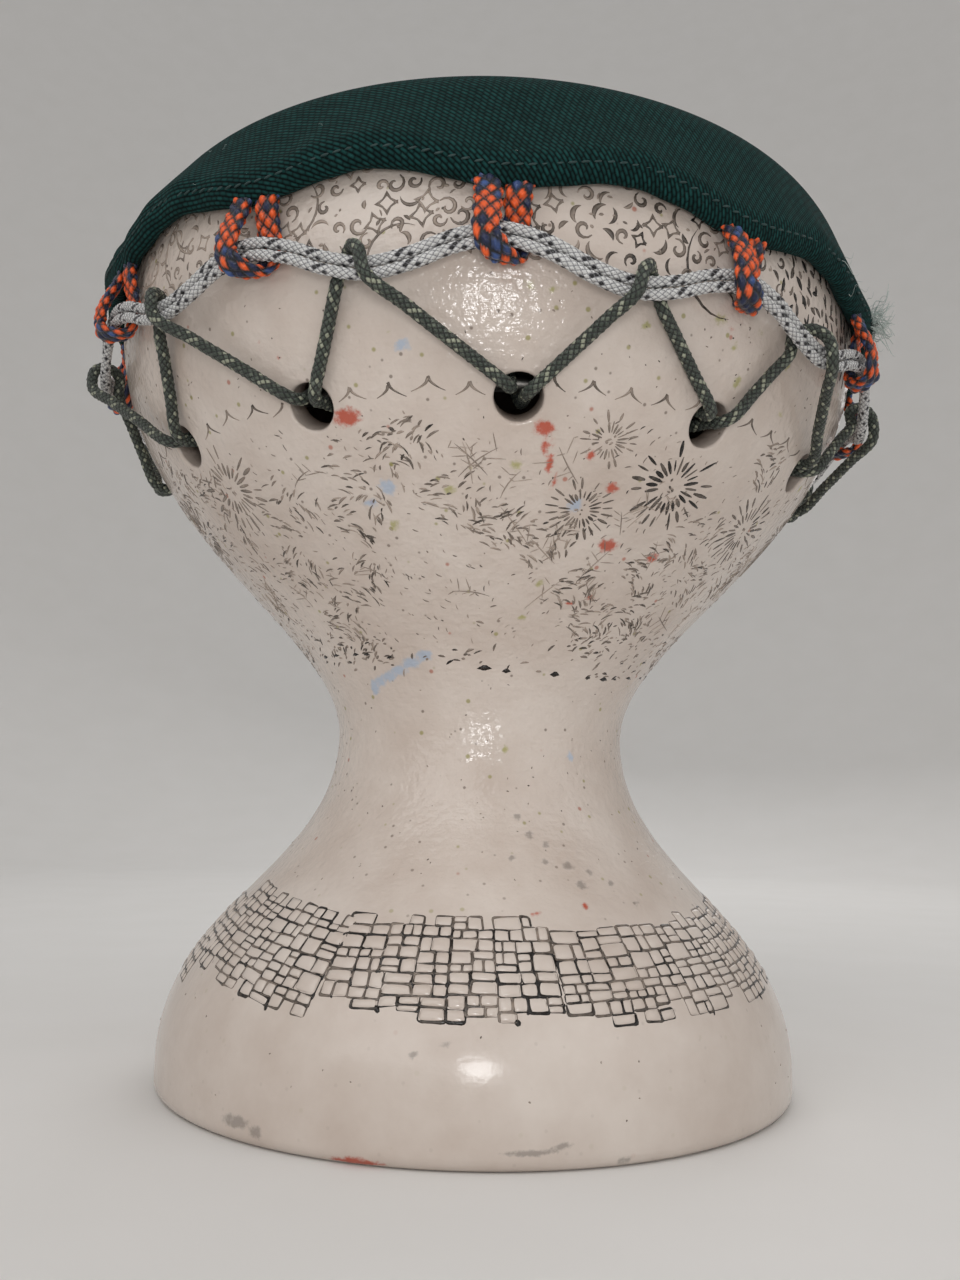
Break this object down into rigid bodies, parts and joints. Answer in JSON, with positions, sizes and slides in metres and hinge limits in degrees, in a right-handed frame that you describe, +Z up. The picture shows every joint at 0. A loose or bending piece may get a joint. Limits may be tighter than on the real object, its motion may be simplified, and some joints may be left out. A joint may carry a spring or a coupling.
{
  "type": "ceramic goblet drum",
  "caption": "Hollow glazed goblet drum with a flared foot, a laced cloth head, a silver tension rope hung in braided loops and a dark lacing cord through holes in the bowl.",
  "frame": {"origin": "middle of the foot ring, on the plane that the drum stands on", "axes": "+Z up along the axis of the drum, +Y away from the viewer of the picture, +X to the viewer's right"},
  "size_m": [0.2832, 0.2835, 0.2988],
  "materials": {
    "glazed_ceramic": "cream gloss glaze with black stamped marks and small colour spots",
    "green_twill": "matte dark green twill",
    "orange_blue_braid": "orange and dark blue flat braid",
    "silver_braid": "silver grey braid with dark flecks, slight sheen",
    "dark_green_braid": "dark green braid",
    "ring_steel": "plain wire ring"
  },
  "bodies": {
    "root": {"ceramic_body": "glazed_ceramic", "cloth_head": "green_twill", "hem_cord": "orange_blue_braid", "tension_rope": "silver_braid", "lacing_cord": "dark_green_braid", "anchor_ring": "ring_steel"}
  },
  "joints": []
}
